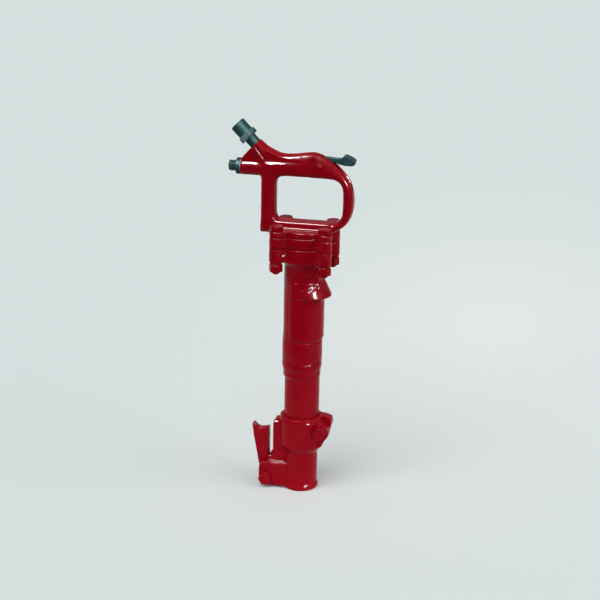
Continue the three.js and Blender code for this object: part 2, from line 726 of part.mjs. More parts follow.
// Side bolts: heads on the handle flange, lock washers and nuts under the cylinder flange
const headBottomZ = handleFlangeTopZ + gap;
const flangeBottomZ = cylinderTopZ - cylinderFlangeThickness;
const nutTopZ = flangeBottomZ - lockWasherThickness - doubleGap;
const nutBottomZ = nutTopZ - sideNutHeight;
const boltTipZ = nutBottomZ - sideBoltPoint;
const sideBolt = join(
  chamferedHexagon(sideBoltFlats, headBottomZ, headBottomZ + sideBoltHeadHeight),
  turned([
    [0, boltTipZ],
    ...boltTipShares.map(([out, rise]) => [sideBoltRadius * out, boltTipZ + sideBoltPoint * rise]),
    [sideBoltRadius, headBottomZ + overrun],
    [0, headBottomZ + overrun],
  ], roundSmall));
const sideNut = cut(
  chamferedHexagon(sideBoltFlats, -nutTopZ, -nutBottomZ).rotate([180, 0, 0]),
  rod(sideBoltRadius + gap, nutBottomZ - overrun, nutTopZ + overrun));
const sideWasher = ring(sideBoltRadius + gap, sideBoltFlats / 2,
  nutTopZ + gap, nutTopZ + gap + lockWasherThickness, roundSmall);
const corners = [
  ["front_left", -1, -1],
  ["front_right", 1, -1],
  ["rear_left", -1, 1],
  ["rear_right", 1, 1],
];
for (const [corner, sx, sy] of corners) {
  const place = [sx * boltX, sy * boltY, 0];
  add("side_bolt_" + corner, sideBolt, paint(), place);
  add("side_nut_" + corner, sideNut, paint(), place);
  add("lock_washer_" + corner, sideWasher, paint(), place);
}

// D-handle: grip, two legs, throttle boss, inlet boss and bolting flange in one casting
const inletDirection = [-Math.cos(rad(inletAngle)), Math.sin(rad(inletAngle))];
function alongInlet(body, start) {
  const tilt = -(90 - inletAngle);
  return body.rotate([0, tilt, 0]).translate([
    inletMouth.x + start * inletDirection[0], 0, inletMouthZ + start * inletDirection[1]]);
}
const gripHeight = gripTopZ - openingTopZ;
// Each pair is a share of the handle's reach in X and of the grip's height over the opening in Z.
const gripTopShares = [
  [-0.95, 1.28], [-0.86, 1.17], [-0.74, 1.03], [-0.61, 0.93], [-0.48, 0.885], [-0.37, 0.88],
  [-0.2, 0.91], [-0.03, 0.965], [0.11, 1.0], [0.22, 0.98], [0.34, 0.92], [0.46, 0.83],
  [0.56, 0.69], [0.66, 0.52], [0.75, 0.34], [0.85, 0.13],
];
// Below the opening's top edge the height is a share of the opening's height.
const rightLegShares = [
  [0.93, 0.93], [0.975, 0.78], [1.0, 0.6], [1.0, 0.39], [0.968, 0.2], [0.91, 0.06],
  [0.82, -0.07], [0.71, -0.15], [0.6, -0.23], [0.5, -0.3],
];
const gripTop = gripTopShares.map(([x, z]) => [x * handleReach, openingTopZ + z * gripHeight]);
const rightLeg = rightLegShares.map(([x, z]) => [x * handleReach, openingBottomZ + z * openingHeight]);
const middle = [(openingLeft + openingRight) / 2, (openingBottomZ + openingTopZ) / 2];
function handleBody() {
  const legLeft = openingLeft - leftLegWidth;
  const side = smooth([...gripTop, ...rightLeg], roundBig);
  const outer = [
    ...side,
    [0, handleSeatZ],
    [legLeft, handleSeatZ],
    [legLeft, throttleAxisZ],
  ];
  const opening = roundedOpening(openingLeft, openingRight, openingBottomZ, openingTopZ,
    [openingCorner, openingShoulderCorner, openingShoulderCorner, openingCorner]);
  const frame = roundedLoop(outer, opening, middle, handleDepth / 2, gripTaper);
  const mouthLow = [
    inletMouth.x - inletBossRadius * Math.sin(rad(inletAngle)),
    inletMouthZ - inletBossRadius * Math.cos(rad(inletAngle))];
  const web = plateXZ(outline([
    [throttleBossLeft, throttleAxisZ],
    [throttleBossLeft, throttleAxisZ + throttleBossRadius],
    mouthLow,
    [inletMouth.x, inletMouthZ],
    [openingLeft, openingTopZ + gripHeight / 2],
    [openingLeft, throttleAxisZ],
  ].reverse()), throttleBossRadius * inletWebShare);
  const throttleBoss = rodX(
    throttleBossRadius, throttleBossLeft, openingLeft, [0, throttleAxisZ], roundMid);
  const base = block(
    [openingLeft, -handleDepth / 2, handleSeatZ],
    [openingRight * baseReachShare, handleDepth / 2, openingBottomZ]);
  const legFoot = block(
    [legLeft + gap, -handleDepth / 3, handleSeatZ],
    [-flangeCoreRadius, handleDepth / 3, openingBottomZ]);
  const inletRoot = alongInlet(
    rod(inletBossRadius * inletRootShare, -gripHeight, 0, roundMid, [0, 0], inletBossRadius), 0);
  return join(frame, web, throttleBoss, inletRoot, base, legFoot,
    flangeBody(handleSeatZ, handleFlangeTopZ));
}

// The groove that runs on from the lever's slot, down the outside of the right shoulder
function shoulderGroove() {
  const path = smooth([...gripTop.slice(-5), ...rightLeg.slice(0, 2)], roundTiny);
  const moved = (by) => path.map(([x, z]) => {
    const [dx, dz] = [x - middle[0], z - middle[1]];
    const length = Math.hypot(dx, dz);
    return [x + (dx / length) * by, z + (dz / length) * by];
  });
  return plateXZ(outline([...moved(overrun), ...moved(-grooveDepth).reverse()]), grooveHalfWidth);
}

const plugInnerX = throttleBossLeft + plugThreadLength;
const seatRightX = throttleSeatX + throttleSeatLength;
const outletRightX = seatRightX + outletRoomLength;
const rodRightX = leverPin.x - fingerRadius - gap;
const legMidX = openingLeft - leftLegWidth / 2;
const travel = rad(leverTravelDeg);

// Throttle lever outline, in shares of its own length from the pin; heights too
const leverLength = 53;
const leverTopShares = [
  [-0.1, 0.03], [-0.08, 0.15], [0.05, 0.25], [0.16, 0.285], [0.46, 0.26], [0.6, 0.27],
  [0.66, 0.355], [0.74, 0.36], [0.9, 0.29], [0.995, 0.22],
];
const leverUnderShares = [
  [0.96, 0.09], [0.87, 0.065], [0.7, 0.07], [0.55, 0.08], [0.4, 0.135], [0.2, 0.12], [0.1, 0.02],
];
function leverShape() {
  return outline([...leverTopShares, ...leverUnderShares].map(([x, z]) => [
    leverPin.x + x * leverLength, leverPinZ + z * leverLength]));
}

function leverBody(halfWidth, clearance) {
  const knuckle = rodY(
    leverKnuckleRadius + clearance, -halfWidth, halfWidth, [leverPin.x, leverPinZ]);
  const tip = rodY(fingerRadius + clearance, -halfWidth, halfWidth,
    [leverPin.x, leverPinZ - fingerDrop], roundSmall);
  const finger = block(
    [leverPin.x - fingerRadius - clearance, -halfWidth, leverPinZ - fingerDrop],
    [leverPin.x + fingerRadius + clearance, halfWidth, leverPinZ]);
  return join(plateXZ(leverShape(), halfWidth), knuckle, tip, finger);
}

// The slot is what the lever sweeps through from rest to its squeezed end.
function leverSweep() {
  const steps = 5;
  const spare = travel * leverSpareShare;
  const blank = leverBody(leverSlotWidth / 2, (leverSlotWidth - leverWidth) / 2);
  const turnAbout = (body, angle) => body
    .translate([-leverPin.x, 0, -leverPinZ])
    .rotate([0, THREE.MathUtils.radToDeg(angle), 0])
    .translate([leverPin.x, 0, leverPinZ]);
  const poses = [];
  for (let i = 0; i <= steps; i += 1) {
    poses.push(turnAbout(blank, -spare + ((travel + 2 * spare) * i) / steps));
  }
  const tipRoom = block(
    [leverPin.x, -leverSlotWidth / 2, leverPinZ],
    [leverPin.x + leverLength, leverSlotWidth / 2, leverPinZ + leverLength]);
  return join(...poses, tipRoom);
}

// A rod in the middle plane between two [x, z] points.
function rodBetween(radius, from, to, facets = roundSmall) {
  const [dx, dz] = [to[0] - from[0], to[1] - from[1]];
  const body = rod(radius, 0, Math.hypot(dx, dz), facets);
  const tilt = THREE.MathUtils.radToDeg(Math.atan2(dx, dz));
  return body.rotate([0, tilt, 0]).translate([from[0], 0, from[1]]);
}

const inletRoomX = throttleSeatX - throttleHeadLength;
const inletEnd = [
  inletMouth.x - nippleThreadLength * inletDirection[0] * inletPassageShare,
  inletMouthZ - nippleThreadLength * inletDirection[1] * inletPassageShare];
const handle = cut(handleBody(),
  rodX(throttleBoreRadius, throttleBossLeft - overrun, seatRightX, [0, throttleAxisZ], roundMid),
  rodX(outletBoreRadius, throttleSeatX, outletRightX, [0, throttleAxisZ], roundMid),
  rodX(pushRodRadius + gap + overrun, outletRightX - overrun, outletRightX + rodSealLength + gap,
    [0, throttleAxisZ]),
  rodX(pushRodRadius + gap, seatRightX, leverPin.x, [0, throttleAxisZ]),
  rod(legPassageRadius, handleFlangeTopZ, throttleAxisZ, roundSmall, [legMidX, 0]),
  rodX(crossPassageRadius, legMidX, 0, [0, handleFlangeTopZ], roundSmall),
  rod(flangePassageRadius, handleSeatZ - overrun, handleFlangeTopZ, roundSmall),
  alongInlet(rod(nippleNeckRadius + gap, -nippleThreadLength, overrun, roundMid), 0),
  rodBetween(inletPassageRadius, inletEnd, [inletRoomX, throttleAxisZ]),
  leverSweep(),
  shoulderGroove(),
  rodY(leverPin.radius + gap, -handleDepth, handleDepth, [leverPin.x, leverPinZ]),
  rodY(stopPin.radius + gap, -handleDepth, handleDepth, [stopPin.x, stopPinZ]),
  ...boltHoles(handleSeatZ, handleFlangeTopZ));
add("d_handle", handle, paint());
add("lever_pin", rodY(leverPin.radius, -handleDepth / 2 + gap, handleDepth / 2 - gap,
  [leverPin.x, leverPinZ]), paint());
const stopPinHalf = handleDepth * stopPinReachShare;
add("lever_stop_pin", rodY(stopPin.radius, -stopPinHalf, stopPinHalf, [stopPin.x, stopPinZ]), paint());

// Throttle lever: a forged arm with a thicker thumb pad and a finger that meets the push rod
const padHalfWidth = leverWidth * padHalfShare;
const padStartX = leverPin.x + leverLength * padStartShare;
const pad = plateXZ(leverShape(), padHalfWidth).intersect(
  block([padStartX, -padHalfWidth, leverPinZ], [padStartX + leverLength, padHalfWidth, gripTopZ]));
add("throttle_lever", cut(
  join(leverBody(leverWidth / 2, 0), pad),
  rodY(leverPin.radius + gap, -leverWidth, leverWidth, [leverPin.x, leverPinZ])), blackened());

// Throttle valve: push rod with its seal, seat, valve, spring, sealed plug
const throttleAxis = [0, throttleAxisZ];
add("push_rod", rodX(pushRodRadius, seatRightX + gap, rodRightX, throttleAxis), bareSteel());
add("push_rod_seal", cut(
  rodX(pushRodRadius + overrun, outletRightX + gap, outletRightX + rodSealLength, throttleAxis),
  rodX(pushRodRadius + gap, outletRightX - overrun, outletRightX + rodSealLength + overrun, throttleAxis)),
rubber());
add("throttle_seat", cut(
  rodX(throttleBoreRadius - gap, throttleSeatX, seatRightX - gap, throttleAxis, roundMid),
  rodX(throttleSeatBore, throttleSeatX - overrun, seatRightX + overrun, throttleAxis)), bareSteel());
const valveRightX = throttleSeatX - gap;
const valveLeftX = valveRightX - throttleHeadLength;
add("throttle_valve", join(
  rodX(throttleHeadRadius, valveLeftX, valveRightX, throttleAxis, roundMid),
  rodX(pushRodRadius, valveRightX - overrun, seatRightX, throttleAxis)), rubber());
const plugFaceX = throttleBossLeft - plugSealThickness - doubleGap;
const plugHeadX = plugFaceX - plugFlangeLength;
const plugHead = hexagon(plugHeadFlats, -plugHeadLength, overrun).rotate([0, 90, 0]);
add("throttle_plug", join(
  rodX(throttleBoreRadius - gap, plugFaceX - overrun, plugInnerX, throttleAxis, roundMid),
  rodX(plugFlangeRadius, plugHeadX, plugFaceX, throttleAxis, roundMid),
  plugHead.translate([plugHeadX, 0, throttleAxisZ])), blackened());
add("plug_seal", cut(
  rodX(plugFlangeRadius - gap, plugFaceX + gap, throttleBossLeft - gap, throttleAxis, roundMid),
  rodX(throttleBoreRadius, plugFaceX - overrun, throttleBossLeft + overrun, throttleAxis, roundMid)),
rubber());

// A coil spring along Z from zero: one wire tube with closed ends.
function coil(radius, wire, length, turns, sides = 5, steps = 8) {
  const vertices = [];
  const faces = [];
  const count = turns * steps;
  for (let i = 0; i <= count; i += 1) {
    const angle = (i * turn) / steps;
    const rise = wire / 2 + ((length - wire) * i) / count;
    for (let k = 0; k < sides; k += 1) {
      const spin = (k * turn) / sides;
      const out = radius + (wire / 2) * Math.cos(spin);
      vertices.push(out * Math.cos(angle), out * Math.sin(angle), rise + (wire / 2) * Math.sin(spin));
      if (i === count) continue;
      const [a, b] = [i * sides + k, i * sides + ((k + 1) % sides)];
      faces.push(a, a + sides, b, b, a + sides, b + sides);
    }
  }
  for (let k = 1; k < sides - 1; k += 1) {
    faces.push(0, k, k + 1);
    faces.push(count * sides, count * sides + k + 1, count * sides + k);
  }
  const geometry = new THREE.BufferGeometry();
  geometry.setAttribute("position", new THREE.Float32BufferAttribute(vertices, 3));
  geometry.setIndex(faces);
  return solid(geometry);
}
const springLength = valveLeftX - plugInnerX - doubleGap;
add("throttle_spring", coil(springRadius, springWire, springLength, throttleSpringTurns), bareSteel(),
  [plugInnerX + gap, 0, throttleAxisZ], [0, Math.PI / 2, 0]);

// Inlet nipple, built along Z from the boss's mouth outwards, and the strainer in its bore
const hexStart = nippleNeckLength;
const endStart = hexStart + nippleHexLength;
const nippleEnd = endStart + nippleEndLength;
const nippleBlank = turned([
  [0, gap - nippleThreadLength],
  [nippleNeckRadius, gap - nippleThreadLength],
  [nippleNeckRadius, hexStart + gap],
  [nippleEndRadius, hexStart + gap],
  [nippleEndRadius, nippleEnd - nippleEndRadius * nippleChamferShare],
  [nippleEndRadius * nippleMouthShare, nippleEnd],
  [0, nippleEnd],
], roundMid);
const inletPlace = [inletMouth.x, 0, inletMouthZ];
const inletTurn = [0, rad(inletAngle - 90), 0];
add("inlet_nipple", cut(
  join(nippleBlank, hexagon(nippleHexFlats, hexStart, endStart)),
  rod(nippleBoreRadius, -nippleThreadLength - overrun, nippleEnd + overrun, roundMid)),
blackened(), inletPlace, inletTurn);
const strainerRadius = nippleBoreRadius - gap;
add("inlet_strainer", cut(
  rod(strainerRadius, doubleGap - nippleThreadLength, hexStart / 2, roundSmall),
  rod(strainerRadius - strainerWall, doubleGap + strainerWall - nippleThreadLength, hexStart, roundSmall),
  ...strainerHoleShares.map((share) => rodX(strainerHoleRadius, -nippleBoreRadius, nippleBoreRadius,
    [0, share * nippleThreadLength], roundTiny))),
bareSteel(), inletPlace, inletTurn);

// A bolt across the tool with its head to the front, built along Z with its head up.
function crossBolt(radius, seat, nutFace, nutHeight) {
  return join(
    chamferedHexagon(smallBoltFlats, seat, seat + smallHeadHeight),
    rod(radius, -nutFace - nutHeight - radius / 2, seat + overrun, roundSmall));
}
function crossNut(radius, face, height) {
  return cut(
    chamferedHexagon(smallBoltFlats, face, face + height).rotate([180, 0, 0]),
    rod(radius + gap, -face - height - overrun, -face + overrun, roundSmall));
}
const across = [Math.PI / 2, 0, 0];

// Clamp of the retainer: bolt, washer under its head, nut behind
const clampPlace = [clampBolt.x, 0, clampBolt.z];
const clampFace = clampLugReach + gap;
const clampHeadSeat = clampFace + washerThickness + gap;
add("clamp_bolt", crossBolt(clampBolt.radius, clampHeadSeat, clampFace, smallNutHeight), paint(),
  clampPlace, across);
add("clamp_washer", ring(clampBolt.radius + gap, clampWasherRadius, clampFace,
  clampFace + washerThickness, roundSmall), paint(), clampPlace, across);
add("clamp_nut", crossNut(clampBolt.radius, clampFace, smallNutHeight), paint(), clampPlace, across);

// Latch: a lever on a bolt between the retainer's ears, its nose under the steel's collar
const latchFace = latchHalfWidth + gap + earThickness + gap;
const pivotPlace = [latchPivot.x, 0, latchPivot.z];
add("latch_bolt", crossBolt(latchPivot.radius, latchFace, latchFace, smallNutHeight), paint(),
  pivotPlace, across);
add("latch_nut", crossNut(latchPivot.radius, latchFace, smallNutHeight), paint(), pivotPlace, across);
const stopPinEnd = latchFace - doubleGap;
add("latch_stop_pin", rodY(latchStopPinRadius, -stopPinEnd, stopPinEnd, stopPinPlace(0)), paint());
// The latch's back in shares of its reach in X and of its height in Z, both from the pivot
const latchBackShares = [
  [-0.15, 0.93], [-0.38, 0.912], [-0.56, 0.913], [-0.67, 0.93], [-0.78, 0.957], [-0.87, 0.987],
  [-0.936, 1], [-0.99, 0.988], [-1, 0.963], [-0.914, 0.762], [-0.778, 0.54], [-0.564, 0.178],
];
function latchBody() {
  const kneeX = latchPivot.x + latchKnuckleRadius * latchKneeShare;
  const lever = outline([
    [latchInnerX, noseTopZ],
    [latchInnerX, latchPivot.z + latchHeight * latchShoulderShare],
    ...latchBackShares.map(([x, z]) => [latchPivot.x + x * latchTipReach, latchPivot.z + z * latchHeight]),
    ...arc([latchPivot.x, latchPivot.z], latchKnuckleRadius, 170, 370, 12),
    [kneeX, noseBottomZ],
  ]);
  const nose = outline([
    [latchInnerX, noseTopZ],
    [latchInnerX, noseBottomZ],
    [noseTipX, noseBottomZ],
    [noseTipX, noseBottomZ + (noseTopZ - noseBottomZ) * noseEdgeShare],
    [noseCrestX, noseTopZ],
  ]);
  const swingShares = [0, 0.5, 1];
  const pinWay = swingShares.map((share) =>
    rodY(latchStopPinRadius + gap, -latchFace, latchFace, stopPinPlace(share)));
  const hub = rodY(latchKnuckleRadius, -latchHalfWidth, latchHalfWidth, [latchPivot.x, latchPivot.z]);
  const forkTop = latchPivot.z + latchSpringRadius + springWire;
  return cut(join(plateXZ(lever, latchPlateHalf), plateXZ(nose, latchPlateHalf), hub),
    rodY(latchPivot.radius + gap, -latchFace, latchFace, [latchPivot.x, latchPivot.z]),
    block(
      [latchPivot.x - latchForkReach, -latchForkHalf, -overrun],
      [latchPivot.x + latchForkReach, latchForkHalf, forkTop]),
    ...pinWay);
}
add("latch", latchBody(), paint());
const latchSpringLength = latchSpringTurns * latchSpringPitch + springWire;
add("latch_spring", coil(latchSpringRadius, springWire, latchSpringLength, latchSpringTurns), bareSteel(),
  [latchPivot.x, latchSpringLength / 2, latchPivot.z], across);

// The middle of the whole tool's width stands over the origin.
const span = new THREE.Box3().setFromObject(tool);
tool.position.x = -(span.min.x + span.max.x) / 2;

export default tool;
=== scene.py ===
import json
import math

import bmesh
import bpy
import numpy as np
from mathutils import Matrix, Vector

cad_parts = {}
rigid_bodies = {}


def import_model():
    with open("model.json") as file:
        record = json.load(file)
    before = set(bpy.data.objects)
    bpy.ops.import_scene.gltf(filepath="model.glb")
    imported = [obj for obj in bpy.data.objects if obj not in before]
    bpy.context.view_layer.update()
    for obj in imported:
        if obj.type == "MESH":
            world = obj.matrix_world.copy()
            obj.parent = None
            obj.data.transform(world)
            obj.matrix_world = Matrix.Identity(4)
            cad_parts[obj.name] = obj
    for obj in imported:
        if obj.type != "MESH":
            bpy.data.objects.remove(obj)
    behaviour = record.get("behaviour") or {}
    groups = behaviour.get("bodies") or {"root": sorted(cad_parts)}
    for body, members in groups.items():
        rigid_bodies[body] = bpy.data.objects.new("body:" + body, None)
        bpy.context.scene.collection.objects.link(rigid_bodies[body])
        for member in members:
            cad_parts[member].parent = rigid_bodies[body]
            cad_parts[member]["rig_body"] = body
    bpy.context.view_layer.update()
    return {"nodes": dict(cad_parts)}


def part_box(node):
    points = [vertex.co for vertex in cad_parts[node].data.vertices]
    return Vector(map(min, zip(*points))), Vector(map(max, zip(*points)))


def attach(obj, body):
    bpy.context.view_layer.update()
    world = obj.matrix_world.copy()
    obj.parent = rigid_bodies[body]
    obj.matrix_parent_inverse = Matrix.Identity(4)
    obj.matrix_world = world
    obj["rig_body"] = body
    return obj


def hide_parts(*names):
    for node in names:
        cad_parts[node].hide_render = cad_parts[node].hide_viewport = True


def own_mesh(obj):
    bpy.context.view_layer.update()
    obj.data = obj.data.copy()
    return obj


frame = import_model()
scene = bpy.context.scene
MM = 0.001

# Camera
# A long lens stands a little to the right of the tool's front and looks down on it,
# with the slight lean of a hand-held picture.
CAMERA_TURN, CAMERA_RISE, CAMERA_LEAN = math.radians(12.5), math.radians(17.3), math.radians(1.1)
CAMERA_REACH = 2.2
LENS_MM, SENSOR_MM = 85.16, 36.0
AIM_ASIDE, AIM_HEIGHT = -6 * MM, 311 * MM
bushing_low, bushing_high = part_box("front_bushing")
AXIS_X = (bushing_low.x + bushing_high.x) / 2


def direction_to(turn, rise):
    """Unit vector to a place turned to the right of straight in front and risen above the floor."""
    return Vector((math.sin(turn) * math.cos(rise), -math.cos(turn) * math.cos(rise), math.sin(rise)))


camera_data = bpy.data.cameras.new("camera")
camera_data.lens = LENS_MM
camera_data.sensor_width = SENSOR_MM
camera_data.sensor_fit = "HORIZONTAL"
camera = bpy.data.objects.new("camera", camera_data)
scene.collection.objects.link(camera)
away = direction_to(CAMERA_TURN, CAMERA_RISE)
camera_place = Matrix.Translation(Vector((AXIS_X + AIM_ASIDE, 0.0, AIM_HEIGHT)) + away * CAMERA_REACH)
level = away.to_track_quat("Z", "Y").to_matrix().to_4x4()
camera.matrix_world = camera_place @ level @ Matrix.Rotation(CAMERA_LEAN, 4, "Z")
scene.camera = camera

# Latch retainer
# A cast steel clamp body with the steel's socket, ears for the latch and lugs for the cross bolt,
# brushed with thick gloss enamel that rounds every edge of the casting.
MERGE_DISTANCE = 0.005 * MM
SOFTENING = 0.5
SHAPE_PASSES = 4


def upright(shift_mm, radius_mm, low_mm, high_mm):
    """A round wall whose upright axis is shifted to the right of the tool's, between two heights."""
    return (AXIS_X + shift_mm * MM, 0, 0), (0, 0, 1), radius_mm * MM, low_mm * MM, high_mm * MM


def pull_round(points, start, along, radius, low, high, near):
    """Moves the points that lie near a round wall onto it; beyond near the pull fades out."""
    along = np.array(along, float) / np.linalg.norm(along)
    offset = points - np.array(start, float)
    height = offset @ along
    out = offset - np.outer(height, along)
    distance = np.linalg.norm(out, axis=1)
    share = np.clip(2 - abs(distance - radius) / near, 0, 1)
    chosen = (height > low) & (height < high) & (share > 0)
    move = share[chosen] * (radius - distance[chosen]) / distance[chosen]
    points[chosen] += out[chosen] * move[:, None]


def soften(points, edges, passes, weight):
    """Draws each point towards the mean of its neighbours, as paint and casting round an edge."""
    count = len(points)
    ends = np.concatenate([edges[:, 0], edges[:, 1]])
    others = np.concatenate([edges[:, 1], edges[:, 0]])
    neighbours = np.maximum(np.bincount(ends, minlength=count), 1)
    for _ in range(passes):
        mean = np.stack([
            np.bincount(ends, weights=points[others, k], minlength=count) / neighbours
            for k in range(3)], axis=1)
        points += (mean - points) * weight[:, None]


def mesh_points(mesh):
    """The mesh's points as rows of x, y and z."""
    points = np.empty(len(mesh.vertices) * 3)
    mesh.vertices.foreach_get("co", points)
    return points.reshape(-1, 3)


def remeshed(node, bridged, voxel):
    """A new object whose mesh is the CAD node, joined with the bridged ones, in even fine cells."""
    source = bmesh.new()
    for one in (node, *bridged):
        source.from_mesh(frame["nodes"][one].data)
    bmesh.ops.remove_doubles(source, verts=source.verts, dist=MERGE_DISTANCE)
    mesh = bpy.data.meshes.new(node + "_skin")
    source.to_mesh(mesh)
    source.free()
    skin = bpy.data.objects.new(node + "_skin", mesh)
    scene.collection.objects.link(skin)
    remesh = skin.modifiers.new("remesh", "REMESH")
    remesh.mode = "VOXEL"
    remesh.voxel_size = voxel
    graph = bpy.context.evaluated_depsgraph_get()
    fine = bpy.data.meshes.new_from_object(skin.evaluated_get(graph))
    skin.modifiers.clear()
    skin.data = fine
    return skin


def skin_over(node, voxel, passes, rounds=(), weigh=None, near=0.2 * MM, bridged=(), shape=None):
    """A smooth new mesh that stands for a CAD node, its round walls free of facets, its edges soft.

    The skin runs on over the bridged nodes. weigh says how much each point softens. shape is a last
    change to the points; it is made twice, with a little softening in between."""
    skin = remeshed(node, bridged, voxel)
    fine = skin.data
    points = mesh_points(fine)
    edges = np.empty(len(fine.edges) * 2, int)
    fine.edges.foreach_get("vertices", edges)
    edges = edges.reshape(-1, 2)
    weight = np.full(len(points), SOFTENING)
    if weigh is not None:
        weight *= weigh(points)
    for one in rounds:
        pull_round(points, *one, near)
    soften(points, edges, passes, weight)
    for one in rounds:
        pull_round(points, *one, near)
    if shape is not None:
        shape(points)
        soften(points, edges, SHAPE_PASSES, weight)
        shape(points)
    low, high = (np.array(corner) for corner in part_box(node))
    np.clip(points, low, high, out=points)
    fine.vertices.foreach_set("co", points.ravel())
    fine.polygons.foreach_set("use_smooth", [True] * len(fine.polygons))
    fine.update()
    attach(skin, frame["nodes"][node]["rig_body"])
    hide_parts(node)
    return skin


def link(tree, start, start_socket, end, end_socket):
    tree.links.new(start.outputs[start_socket], end.inputs[end_socket])


def shader_group(name, outputs):
    """An empty node group that takes a place and gives the named values; with its two end nodes."""
    group = bpy.data.node_groups.new(name, "ShaderNodeTree")
    group.interface.new_socket("Vector", in_out="INPUT", socket_type="NodeSocketVector")
    for output in outputs:
        group.interface.new_socket(output, in_out="OUTPUT", socket_type="NodeSocketFloat")
    return group, group.nodes.new("NodeGroupInput"), group.nodes.new("NodeGroupOutput")


def relief_group(waves):
    """Height of a painted casting; each of the waves is a count to the metre and a share of the height."""
    group, entry, leave = shader_group("cast_relief", ["Height"])
    total = None
    for count, share in waves:
        noise = group.nodes.new("ShaderNodeTexNoise")
        noise.inputs["Scale"].default_value = count
        noise.inputs["Detail"].default_value = 0.5
        link(group, entry, "Vector", noise, "Vector")
        part = group.nodes.new("ShaderNodeMath")
        part.operation = "MULTIPLY_ADD"
        part.inputs[1].default_value = share
        part.inputs[2].default_value = 0
        group.links.new(noise.outputs["Fac"], part.inputs[0])
        if total is not None:
            group.links.new(total.outputs[0], part.inputs[2])
        total = part
    group.links.new(total.outputs[0], leave.inputs["Height"])
    return group


# Pointiness at which the painted shade in the hollows begins and where it is full.
PAINTED_SHADE_START, PAINTED_SHADE_FULL = 0.5, 0.4


def tone_and_shade_group(patches):
    """Light and dark drift in so many patches to the metre, and a mask of the hollows, where shade is
    painted in.
    """
    group, entry, leave = shader_group("paint_tone_and_shade", ["Drift", "PaintedShade"])
    noise = group.nodes.new("ShaderNodeTexNoise")
    noise.inputs["Scale"].default_value = patches
    noise.inputs["Detail"].default_value = 4
    link(group, entry, "Vector", noise, "Vector")
    group.links.new(noise.outputs["Fac"], leave.inputs["Drift"])
    shape = group.nodes.new("ShaderNodeNewGeometry")
    shade_mask = group.nodes.new("ShaderNodeMapRange")
    shade_mask.inputs["From Min"].default_value = PAINTED_SHADE_START
    shade_mask.inputs["From Max"].default_value = PAINTED_SHADE_FULL
    group.links.new(shape.outputs["Pointiness"], shade_mask.inputs["Value"])
    group.links.new(shade_mask.outputs["Result"], leave.inputs["PaintedShade"])
    return group


RELIEF = relief_group([(75, 1.0), (210, 0.45), (430, 0.24)])
TONE_AND_SHADE = tone_and_shade_group(38)


def new_material(name):
    """A node material with its tree, its shader and a node for the place on the piece."""
    material = bpy.data.materials.new(name)
    material.use_nodes = True
    tree = material.node_tree
    return material, tree, tree.nodes["Principled BSDF"], tree.nodes.new("ShaderNodeTexCoord")


def use_group(tree, place, group):
    node = tree.nodes.new("ShaderNodeGroup")
    node.node_tree = group
    link(tree, place, "Object", node, "Vector")
    return node


def mixed_colour(tree, share, first, second):
    """Socket of a colour between two; first is a colour or another socket."""
    mix = tree.nodes.new("ShaderNodeMix")
    mix.data_type = "RGBA"
    if isinstance(first, bpy.types.NodeSocket):
        tree.links.new(first, mix.inputs["A"])
    else:
        mix.inputs["A"].default_value = (*first, 1)
    mix.inputs["B"].default_value = (*second, 1)
    tree.links.new(share, mix.inputs["Factor"])
    return mix.outputs["Result"]


def mixed_value(tree, share, first, second):
    """Socket of a value between two."""
    spread = tree.nodes.new("ShaderNodeMapRange")
    spread.inputs["To Min"].default_value = first
    spread.inputs["To Max"].default_value = second
    tree.links.new(share, spread.inputs["Value"])
    return spread.outputs["Result"]


def raise_relief(tree, height, shader, depth):
    bump = tree.nodes.new("ShaderNodeBump")
    bump.inputs["Distance"].default_value = depth
    tree.links.new(height, bump.inputs["Height"])
    link(tree, bump, "Normal", shader, "Normal")


ENAMEL_DARK, ENAMEL_LIGHT = (0.285, 0.0008, 0.0065), (0.41, 0.0014, 0.012)
# Painted shade: the dark colour laid into the hollows of the enamel.
ENAMEL_PAINTED_SHADE = (0.08, 0.0006, 0.002)
ENAMEL_IOR = 1.16


def paint_material(name, relief_mm, sheen=(0.15, 0.27)):
    """Deep red gloss enamel over a casting's relief, with shade painted into its hollows; sheen is its
    roughness where dark and where light.
    """
    material, tree, shader, place = new_material(name)
    raise_relief(tree, use_group(tree, place, RELIEF).outputs["Height"], shader, relief_mm * MM)
    tone_and_shade = use_group(tree, place, TONE_AND_SHADE)
    drift = mixed_colour(tree, tone_and_shade.outputs["Drift"], ENAMEL_DARK, ENAMEL_LIGHT)
    # Painted shade: the enamel darkens towards its painted-shade colour in the mesh's hollows.
    shaded_colour = mixed_colour(tree, tone_and_shade.outputs["PaintedShade"], drift, ENAMEL_PAINTED_SHADE)
    tree.links.new(shaded_colour, shader.inputs["Base Color"])
    tree.links.new(mixed_value(tree, tone_and_shade.outputs["Drift"], *sheen), shader.inputs["Roughness"])
    shader.inputs["IOR"].default_value = ENAMEL_IOR
    return material


def finish_piece(piece, material, other=None, zones=()):
    """Gives the piece its paint, and the other paint where a face lies in one of the height zones."""
    piece.data.materials.clear()
    piece.data.materials.append(material)
    if other is not None:
        piece.data.materials.append(other)
        for face in piece.data.polygons:
            face.material_index = any(low < face.center.z < high for low, high in zones)


ROUGH_PAINT = paint_material("paint_on_rough_casting", relief_mm=2.7, sheen=(0.09, 0.16))
CAST_PAINT = paint_material("paint_on_smooth_casting", relief_mm=0.35)
LUMPY_PAINT = paint_material("paint_on_clamp_casting", relief_mm=0.7, sheen=(0.08, 0.15))
EVEN_PAINT = paint_material("paint_on_turned_metal", relief_mm=0.12)
